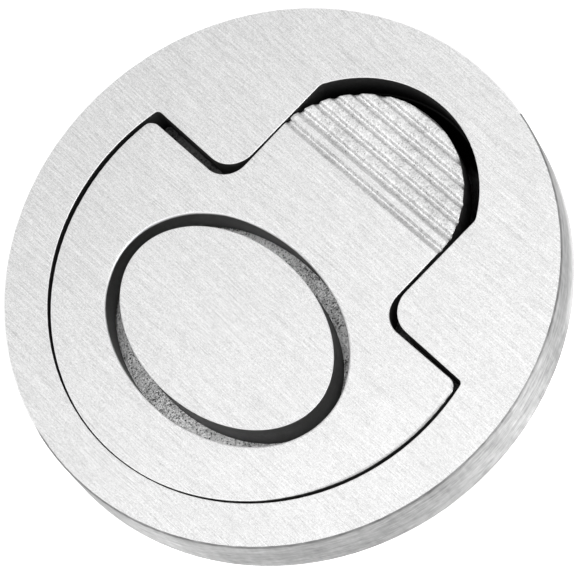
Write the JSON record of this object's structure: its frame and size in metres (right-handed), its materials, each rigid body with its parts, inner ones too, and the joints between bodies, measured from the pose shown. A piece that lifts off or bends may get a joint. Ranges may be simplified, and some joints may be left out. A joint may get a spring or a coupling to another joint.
{
  "type": "recessed hatch pull",
  "caption": "Round flush hatch pull with a keyhole-shaped lift handle: pressing the ribbed thumb tab tips the oval finger ring up out of its recess.",
  "frame": {"origin": "centre of the round flange's underside, the plane that seats on the hatch", "axes": "+Z out of the brushed face, +X from the centre towards the ribbed thumb tab, hinge axis along Y"},
  "size_m": [0.0635, 0.0634, 0.0228],
  "materials": {
    "brushed_casting": "face brushed straight across the pull, rim brushed round, recesses as cast",
    "bright_steel": "turned, plain",
    "spring_wire": "drawn wire",
    "black_rubber": "moulded, matt"
  },
  "bodies": {
    "case": {"body": "brushed_casting", "hinge_pin": "bright_steel", "pin_lock_screw": "bright_steel", "return_spring": "spring_wire", "mounting_studs": "bright_steel", "seal_ring": "black_rubber", "rest_bumpers": "black_rubber"},
    "lift_handle": {"handle": "brushed_casting"}
  },
  "joints": [
    {"name": "handle_lift", "type": "hinge", "parent": "case", "child": "lift_handle", "pos_m": [0.011, 0, 0.00285], "axis": [0, 1, 0], "range_deg": [0, 65], "stiffness_Nm_per_rad": 0.02, "springref_deg": -57.3, "deforming": ["return_spring"]}
  ]
}
